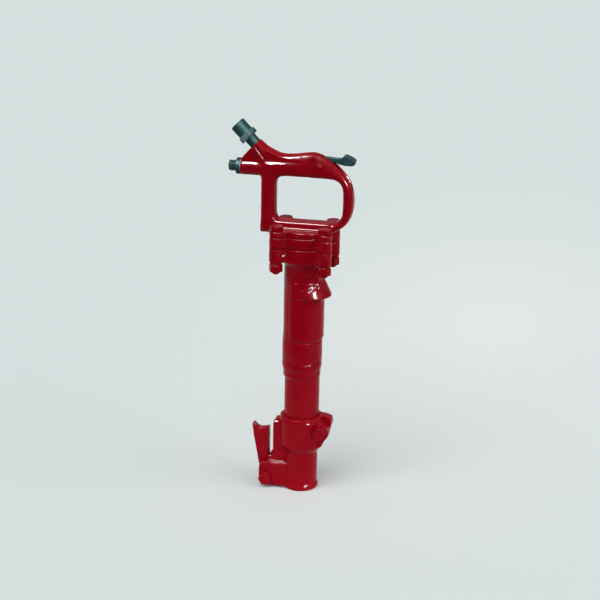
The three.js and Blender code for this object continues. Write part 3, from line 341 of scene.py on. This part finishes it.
# Each wall: its shift from the tool's axis, its radius, and its lowest and highest point, in mm.
RETAINER_WALLS = {
    "neck": (0, 26.5, 9, 63),
    "clamp body": (0, 34.5, 73, 116.5),
    "clamp lip": (0, 33.6, 118, 122),
    "steel socket": (0, 22.0, 1, 73),
    "barrel seat": (0, 27.9, 74, 123),
}
retainer = skin_over("latch_retainer", voxel=0.9 * MM, passes=4,
                     rounds=[upright(*wall) for wall in RETAINER_WALLS.values()])
finish_piece(retainer, LUMPY_PAINT)

# Clamp bolt, washer and nut
# Plain hexagon hardware of forged steel that pulls the retainer's lugs together round the barrel.
# It was brushed over with the rest.
for node in ("clamp_bolt", "clamp_washer", "clamp_nut"):
    finish_piece(skin_over(node, voxel=0.5 * MM, passes=4), ROUGH_PAINT)

# Latch and its pins
# A forged finger lever holds the steel by its collar. It turns on a cross bolt between the ears, and
# a pin in its slot ends its swing.
for node in ("latch_bolt", "latch_nut", "latch_stop_pin"):
    finish_piece(skin_over(node, voxel=0.5 * MM, passes=4), ROUGH_PAINT)
finish_piece(skin_over("latch", voxel=0.7 * MM, passes=6), LUMPY_PAINT)

# Front bushing and the other bare steel pieces inside
# Hardened steel, turned and ground, with an oil film. Only the bushing and the latch spring can be
# seen, from below and between the ears.


def steel_material(name, dark, light, marks, length_ratio):
    """Bare machined steel with so many turning marks to the metre, each length_ratio times as long."""
    material, tree, shader, place = new_material(name)
    shader.inputs["Metallic"].default_value = 1.0
    stretch = tree.nodes.new("ShaderNodeMapping")
    stretch.inputs["Scale"].default_value = (marks / length_ratio, marks / length_ratio, marks)
    link(tree, place, "Object", stretch, "Vector")
    noise = tree.nodes.new("ShaderNodeTexNoise")
    noise.inputs["Scale"].default_value = 1.0
    noise.inputs["Detail"].default_value = 3
    link(tree, stretch, "Vector", noise, "Vector")
    tree.links.new(mixed_colour(tree, noise.outputs["Fac"], dark, light), shader.inputs["Base Color"])
    tree.links.new(mixed_value(tree, noise.outputs["Fac"], 0.25, 0.5), shader.inputs["Roughness"])
    raise_relief(tree, noise.outputs["Fac"], shader, 0.02 * MM)
    return material


def refinish_nodes(nodes, material):
    """Gives CAD nodes that stay as they are a better material."""
    for node in nodes:
        for slot in frame["nodes"][node].material_slots:
            slot.material = material


BARE_STEEL = steel_material("bare_turned_steel", dark=(0.22, 0.22, 0.23), light=(0.5, 0.5, 0.52),
                            marks=3000, length_ratio=12)
refinish_nodes(("front_bushing", "piston", "valve_seat_plate", "flapper_valve", "valve_cap", "valve_dowel",
                "push_rod", "throttle_seat", "inlet_strainer", "latch_spring"), BARE_STEEL)

# Throttle spring
# A short coil of hard-drawn wire behind the throttle valve. Squeezing the lever presses it together
# towards the plug.
coil = bpy.data.objects.new("throttle_coil", frame["nodes"]["throttle_spring"].data.copy())
scene.collection.objects.link(coil)
coil.data.materials.clear()
coil.data.materials.append(BARE_STEEL)
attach(coil, "tool_body")
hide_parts("throttle_spring")
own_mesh(coil)

# Cylinder
# The long barrel is turned, so its paint lies smooth; the foot of the band, the exhaust hood and
# the bolt flange are as cast. The band and the hood stand a little off the tool's axis.
BAND_SHIFT_MM, BAND_STEP_MM, HOOD_SHIFT_MM, FLANGE_CORE_MM = -0.9, 29.3, 8.1, 38.0
CYLINDER_WALLS = {
    "lower barrel": (0, 27.6, 83, 187),
    "band step": (BAND_SHIFT_MM, BAND_STEP_MM, 190, 199),
    "band": (BAND_SHIFT_MM, 31.2, 205, 253),
    "upper barrel": (0, 31.0, 255, 378),
    "exhaust panel": (0, 32.2, 254, 345),
    "bore": (0, 19.0, 150, 400),
    "flange core": (0, FLANGE_CORE_MM, 379, 399),
    "hood rim": (HOOD_SHIFT_MM, 35.9, 320, 323),
}
CAST_ZONES = [(187 * MM, 228 * MM), (333 * MM, 401 * MM)]
GROOVE_HEIGHTS = (215 * MM, 250.5 * MM)
GROOVE_PRESS, GROOVE_HALF = 0.4 * MM, 2.2 * MM
OUTSIDE_MARGIN = 3 * MM


def press_grooves(points):
    """Presses two shallow ring grooves, low and high on the band, into the outside of the barrel.

    A skin is shaped twice, so a groove ends up nearly twice as deep as one press."""
    for groove_height in GROOVE_HEIGHTS:
        dip = np.clip(1 - ((points[:, 2] - groove_height) / GROOVE_HALF) ** 2, 0, 1) ** 2
        out = points[:, :2] - np.array((AXIS_X, 0))
        reach = np.linalg.norm(out, axis=1)
        outside = reach > BAND_STEP_MM * MM - OUTSIDE_MARGIN
        points[outside, :2] -= (out * (GROOVE_PRESS * dip / np.maximum(reach, MM))[:, None])[outside]


cylinder = skin_over("cylinder", voxel=1.0 * MM, passes=9, shape=press_grooves,
                     rounds=[upright(*wall) for wall in CYLINDER_WALLS.values()])
finish_piece(cylinder, EVEN_PAINT, ROUGH_PAINT, CAST_ZONES)

# Valve chest
# A short cast block that holds the flapper valve between the cylinder and the handle. Its outline
# is the same as that of their flanges.
chest = skin_over("valve_chest", voxel=0.9 * MM, passes=12, rounds=[upright(0, FLANGE_CORE_MM, 401, 417)])
finish_piece(chest, ROUGH_PAINT)

# Side bolts, nuts and lock washers
# Four long bolts of forged steel hold handle, chest and cylinder together. They were painted over
# where they stand, so paint fills their corners.
for corner in ("front_left", "front_right", "rear_left", "rear_right"):
    for part in ("side_bolt_", "side_nut_", "lock_washer_"):
        finish_piece(skin_over(part + corner, voxel=0.6 * MM, passes=4), ROUGH_PAINT)

# Handle
# One casting: grip, two legs, throttle boss, inlet boss and flange flow into each other. The slot
# for the lever and the mouths of the bosses stay crisper, because they are machined.
throttle_low, throttle_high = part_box("throttle_plug")
THROTTLE_Z = (throttle_low.z + throttle_high.z) / 2
THROTTLE_BOSS = ((0, 0, THROTTLE_Z), (1, 0, 0), 12.8 * MM, AXIS_X - 99 * MM, AXIS_X - 72 * MM)
INLET_AXIS = Vector((-1, 0, 1)).normalized()
INLET_MOUTH = Vector((AXIS_X - 79.3 * MM, 0, 552.3 * MM))
SLOT_HALF, SLOT_START, SLOT_FLOOR = 7.5 * MM, 8 * MM, 500 * MM
MOUTH_DEPTH, BOSS_END, FLANGE_TOP = 3 * MM, -96 * MM, 430 * MM
MACHINED_SHARE, FLANGE_SHARE = 0.12, 0.25
GRIP_BULGE, BULGE_CORNER, BULGE_FLAT = 14.5 * MM, 7.5 * MM, 4.2 * MM
GRIP_TURN, GRIP_WAIST, GRIP_FILLET = math.radians(42), 2.2 * MM, 2.0 * MM
WAIST_START, START_FADE, WAIST_END, END_FADE = -72 * MM, 13 * MM, 34 * MM, 50 * MM
CREST_TOP, CREST_LOW = (-80 * MM, 549 * MM), (-64.5 * MM, 528.5 * MM)
CREST_WIDTH, CREST_DEPTH, CREST_ROUND = 5.5 * MM, 12.2 * MM, 0.8 * MM
CREST_FALL_RIGHT, CREST_FALL_LEFT = 0.8, 0.35
CREST_SIDE_FADE, CREST_END_SHARE = 0.45, 0.5
CREST_FRONT = 4 * MM


def handle_weight(points):
    """Full softening on the flowing casting, little at the slot, the boss mouths and the flange."""
    x, y, z = points[:, 0] - AXIS_X, points[:, 1], points[:, 2]
    weight = np.ones(len(points))
    slot = (abs(y) < SLOT_HALF) & (x > SLOT_START) & (z > SLOT_FLOOR)
    mouth = (points - np.array(INLET_MOUTH)) @ np.array(INLET_AXIS) > -MOUTH_DEPTH
    boss_end = x < BOSS_END
    weight[slot | mouth | boss_end] = MACHINED_SHARE
    weight[z < FLANGE_TOP] = FLANGE_SHARE
    return weight


def slope_grip(points):
    """Waists the grip above the throttle bore, whose bulge runs on along both faces."""
    x, y, rise = points[:, 0] - AXIS_X, points[:, 1], points[:, 2] - THROTTLE_Z
    lift = np.maximum(rise - BULGE_FLAT, 0)
    turn_lift = BULGE_CORNER * math.sin(GRIP_TURN)
    core = GRIP_BULGE - BULGE_CORNER
    limit = core + np.sqrt(BULGE_CORNER ** 2 - np.minimum(lift, turn_lift) ** 2)
    above = np.maximum(lift - turn_lift, 0)
    limit -= GRIP_WAIST * (1 - np.exp(-above / GRIP_FILLET))
    share = np.clip(np.minimum((x - WAIST_START) / START_FADE, (WAIST_END - x) / END_FADE), 0, 1)
    share = share * share * (3 - 2 * share)
    limit = limit * share + GRIP_BULGE * (1 - share)
    chosen = (rise > 0) & (share > 0)
    points[chosen, 1] = np.sign(y[chosen]) * np.minimum(abs(y[chosen]), limit[chosen])


def raise_crest(points):
    """Gives the inlet boss a rounded crest that runs from its mouth down to the throttle boss."""
    x, y, z = points[:, 0] - AXIS_X, points[:, 1], points[:, 2]
    run_x, run_z = CREST_LOW[0] - CREST_TOP[0], CREST_LOW[1] - CREST_TOP[1]
    length = math.hypot(run_x, run_z)
    along = ((x - CREST_TOP[0]) * run_x + (z - CREST_TOP[1]) * run_z) / length
    aside = ((z - CREST_TOP[1]) * run_x - (x - CREST_TOP[0]) * run_z) / length
    drop = np.where(aside > 0, CREST_FALL_RIGHT * aside, CREST_FALL_LEFT * -aside)
    depth = CREST_DEPTH + CREST_ROUND - np.hypot(drop, CREST_ROUND)
    inner = np.clip((CREST_WIDTH - abs(aside)) / (CREST_SIDE_FADE * CREST_WIDTH), 0, 1)
    ends = np.clip(np.minimum(along, length - along) / CREST_WIDTH + CREST_END_SHARE, 0, 1)
    share = inner * ends * (abs(y) > CREST_FRONT)
    points[:, 1] += np.sign(y) * share * (depth - abs(y))


handle = skin_over("d_handle", voxel=1.0 * MM, passes=34, rounds=[THROTTLE_BOSS], near=0.7 * MM,
                   weigh=handle_weight, bridged=("lever_pin", "lever_stop_pin"), shape=slope_grip)
handle_points = mesh_points(handle.data)
raise_crest(handle_points)
handle.data.vertices.foreach_set("co", handle_points.ravel())
finish_piece(handle, CAST_PAINT)

# Lever pins
# Hardened drive pins across the handle, one that the lever turns on and one that ends its stroke.
# They are ground flush and painted over.
for node in ("lever_pin", "lever_stop_pin"):
    finish_piece(skin_over(node, voxel=0.4 * MM, passes=6, shape=slope_grip), CAST_PAINT)

# Throttle lever, plug and inlet nipple
# Forged and turned steel with a dark blue-green chemical blackening. A spanner has rubbed the
# nipple's hexagon grey in patches.
BLACKENED_DARK, BLACKENED_LIGHT = (0.0055, 0.024, 0.0255), (0.019, 0.064, 0.064)
RUBBED_GREY, RUBBED_SHARE = (0.10, 0.14, 0.155), 0.85
HEXAGON_PLACE, HEXAGON_HALF, RUB_FADE = 16.8 * MM, 4.2 * MM, 0.8 * MM
PATCH_START, PATCH_FULL = 0.42, 0.6


def edge_mask(tree, value, start, end, before, after):
    """Socket that goes smoothly from one value to another between two places."""
    edge = tree.nodes.new("ShaderNodeMapRange")
    edge.interpolation_type = "SMOOTHSTEP"
    edge.inputs["From Min"].default_value = start
    edge.inputs["From Max"].default_value = end
    edge.inputs["To Min"].default_value = before
    edge.inputs["To Max"].default_value = after
    tree.links.new(value, edge.inputs["Value"])
    return edge.outputs["Result"]


def product(tree, first, second):
    multiply = tree.nodes.new("ShaderNodeMath")
    multiply.operation = "MULTIPLY"
    tree.links.new(first, multiply.inputs[0])
    tree.links.new(second, multiply.inputs[1])
    return multiply.outputs["Value"]


def hexagon_mask(tree, place, tone_and_shade):
    """Socket of the patches that a spanner has rubbed on the nipple's hexagon."""
    along = tree.nodes.new("ShaderNodeVectorMath")
    along.operation = "DOT_PRODUCT"
    along.inputs[1].default_value = INLET_AXIS
    link(tree, place, "Object", along, 0)
    middle = INLET_MOUTH.dot(INLET_AXIS) + HEXAGON_PLACE
    low, high = middle - HEXAGON_HALF, middle + HEXAGON_HALF
    upper = edge_mask(tree, along.outputs["Value"], high, high + RUB_FADE, RUBBED_SHARE, 0.0)
    lower = edge_mask(tree, along.outputs["Value"], low - RUB_FADE, low, 0.0, 1.0)
    patchy = tree.nodes.new("ShaderNodeMapRange")
    patchy.inputs["From Min"].default_value = PATCH_START
    patchy.inputs["From Max"].default_value = PATCH_FULL
    link(tree, tone_and_shade, "Drift", patchy, "Value")
    return product(tree, product(tree, upper, lower), patchy.outputs["Result"])


def blackened_material(name, rubbed=False):
    """Chemically blackened steel, with the nipple's rubbed hexagon where that is asked for."""
    material, tree, shader, place = new_material(name)
    shader.inputs["Metallic"].default_value = 0.22
    shader.inputs["IOR"].default_value = 1.15
    raise_relief(tree, use_group(tree, place, RELIEF).outputs["Height"], shader, 0.3 * MM)
    tone_and_shade = use_group(tree, place, TONE_AND_SHADE)
    colour = mixed_colour(tree, tone_and_shade.outputs["Drift"], BLACKENED_DARK, BLACKENED_LIGHT)
    if rubbed:
        colour = mixed_colour(tree, hexagon_mask(tree, place, tone_and_shade), colour, RUBBED_GREY)
    tree.links.new(colour, shader.inputs["Base Color"])
    tree.links.new(mixed_value(tree, tone_and_shade.outputs["Drift"], 0.42, 0.6), shader.inputs["Roughness"])
    return material


def inlet_wall(radius_mm, low_mm, high_mm):
    """A round wall about the inlet's axis, measured outwards from the inlet's mouth."""
    return INLET_MOUTH, INLET_AXIS, radius_mm * MM, low_mm * MM, high_mm * MM


BLACKENED = blackened_material("blackened_steel")
RUBBED = blackened_material("rubbed_blackened_steel", rubbed=True)
PLUG_FLANGE = ((0, 0, THROTTLE_Z), (1, 0, 0), 12.6 * MM, AXIS_X - 109 * MM, AXIS_X - 101 * MM)
NIPPLE_WALLS = {"neck": (9.2, -17, 13), "hose end": (12.0, 21, 40), "bore": (7.0, -17, 41)}
lever = skin_over("throttle_lever", voxel=0.5 * MM, passes=10)
finish_piece(lever, BLACKENED)
plug = skin_over("throttle_plug", voxel=0.5 * MM, passes=3, rounds=[PLUG_FLANGE])
finish_piece(plug, BLACKENED)
nipple = skin_over("inlet_nipple", voxel=0.5 * MM, passes=3,
                   rounds=[inlet_wall(*wall) for wall in NIPPLE_WALLS.values()])
finish_piece(nipple, RUBBED)

# Rubber parts
# Moulded nitrile rubber, matt and nearly black: the push rod's seal, the throttle valve and the
# plug's ring.
NITRILE, nitrile_tree, nitrile_shader, nitrile_place = new_material("nitrile_rubber")
nitrile_shader.inputs["Roughness"].default_value = 0.7
speckle = nitrile_tree.nodes.new("ShaderNodeTexNoise")
speckle.inputs["Scale"].default_value = 900
link(nitrile_tree, nitrile_place, "Generated", speckle, "Vector")
nitrile_tone = mixed_colour(nitrile_tree, speckle.outputs["Fac"], (0.012, 0.012, 0.012), (0.03, 0.03, 0.03))
nitrile_tree.links.new(nitrile_tone, nitrile_shader.inputs["Base Color"])
refinish_nodes(("push_rod_seal", "throttle_valve", "plug_seal"), NITRILE)

# Studio floor
# One wide sheet of pale paper that ends a little before the tool, out of the picture, so that the
# gloss paint mirrors the dark studio there. A soft pool of light is painted into the paper behind the tool,
# to its right.
FLOOR_HALF, FLOOR_FRONT, FLOOR_BACK = 9.0, -0.5, 16.0
PAPER_TONE, PAPER_PAINTED_LIGHT = (0.80, 0.865, 0.85), (0.92, 0.95, 0.935)
PAINTED_LIGHT_PLACE, PAINTED_LIGHT_SCALE = (-0.25, -0.45, 0), (1.0, 0.5, 1)
floor_mesh = bpy.data.meshes.new("floor")
floor_mesh.from_pydata(
    [(-FLOOR_HALF, FLOOR_FRONT, 0), (FLOOR_HALF, FLOOR_FRONT, 0),
     (FLOOR_HALF, FLOOR_BACK, 0), (-FLOOR_HALF, FLOOR_BACK, 0)], [], [(0, 1, 2, 3)])
floor = bpy.data.objects.new("floor", floor_mesh)
scene.collection.objects.link(floor)
PAPER, paper_tree, paper_shader, paper_place = new_material("pale_paper")
paper_shader.inputs["Roughness"].default_value = 0.9
paper_shader.inputs["Specular IOR Level"].default_value = 0.0
# Painted light: the paper's colour turns paler in a soft patch behind the tool.
painted_light_place = paper_tree.nodes.new("ShaderNodeMapping")
painted_light_place.inputs["Location"].default_value = PAINTED_LIGHT_PLACE
painted_light_place.inputs["Scale"].default_value = PAINTED_LIGHT_SCALE
link(paper_tree, paper_place, "Object", painted_light_place, "Vector")
painted_light = paper_tree.nodes.new("ShaderNodeTexGradient")
painted_light.gradient_type = "QUADRATIC_SPHERE"
link(paper_tree, painted_light_place, "Vector", painted_light, "Vector")
paper_colour = mixed_colour(paper_tree, painted_light.outputs["Fac"], PAPER_TONE, PAPER_PAINTED_LIGHT)
paper_tree.links.new(paper_colour, paper_shader.inputs["Base Color"])
floor_mesh.materials.append(PAPER)

# Studio lights
# A soft screen in front, high and to the left, throws a faint shadow back; a weaker one fills from
# the right. Two narrow tubes, seen only as mirror images, draw the gloss paint's bright lines.
LAMP_REACH = 4
KEY_PLACE = (-19.6, 52)


def distant_lamp(name, turn, rise, strength, spread, mirrored_only=False):
    """A far lamp; its turn to the right of straight in front, rise and spread are in degrees."""
    data = bpy.data.lights.new(name, "SUN")
    data.energy = strength
    data.angle = math.radians(spread)
    towards = direction_to(math.radians(turn), math.radians(rise))
    lamp = bpy.data.objects.new(name, data)
    facing = towards.to_track_quat("Z", "Y").to_matrix().to_4x4()
    lamp.matrix_world = Matrix.Translation(towards * LAMP_REACH) @ facing
    lamp.visible_diffuse = not mirrored_only
    scene.collection.objects.link(lamp)


distant_lamp("key_screen", *KEY_PLACE, strength=1.3, spread=50)
distant_lamp("key_tube", *KEY_PLACE, strength=28, spread=5, mirrored_only=True)
distant_lamp("right_screen", turn=80, rise=30, strength=0.75, spread=45)
distant_lamp("right_tube", turn=48.6, rise=21.7, strength=18, spread=5, mirrored_only=True)

# Studio room
# A pale ceiling fills the shadows evenly, and the room below the horizon is dark, so that the
# paint has something to mirror. Just above the horizon one fades into the other.
CEILING, ROOM_BELOW = (0.41, 0.425, 0.435), (0.02, 0.02, 0.022)
CEILING_START, CEILING_FULL = -0.05, 0.35
world = bpy.data.worlds.new("studio")
world.use_nodes = True
world_tree = world.node_tree
room = world_tree.nodes["Background"]
room.inputs["Strength"].default_value = 1.0
direction = world_tree.nodes.new("ShaderNodeTexCoord")
height = world_tree.nodes.new("ShaderNodeSeparateXYZ")
link(world_tree, direction, "Generated", height, "Vector")
ceiling = world_tree.nodes.new("ShaderNodeMapRange")
ceiling.inputs["From Min"].default_value = CEILING_START
ceiling.inputs["From Max"].default_value = CEILING_FULL
link(world_tree, height, "Z", ceiling, "Value")
room_colour = mixed_colour(world_tree, ceiling.outputs["Result"], ROOM_BELOW, CEILING)
world_tree.links.new(room_colour, room.inputs["Color"])
scene.world = world
scene.view_settings.view_transform = "Standard"
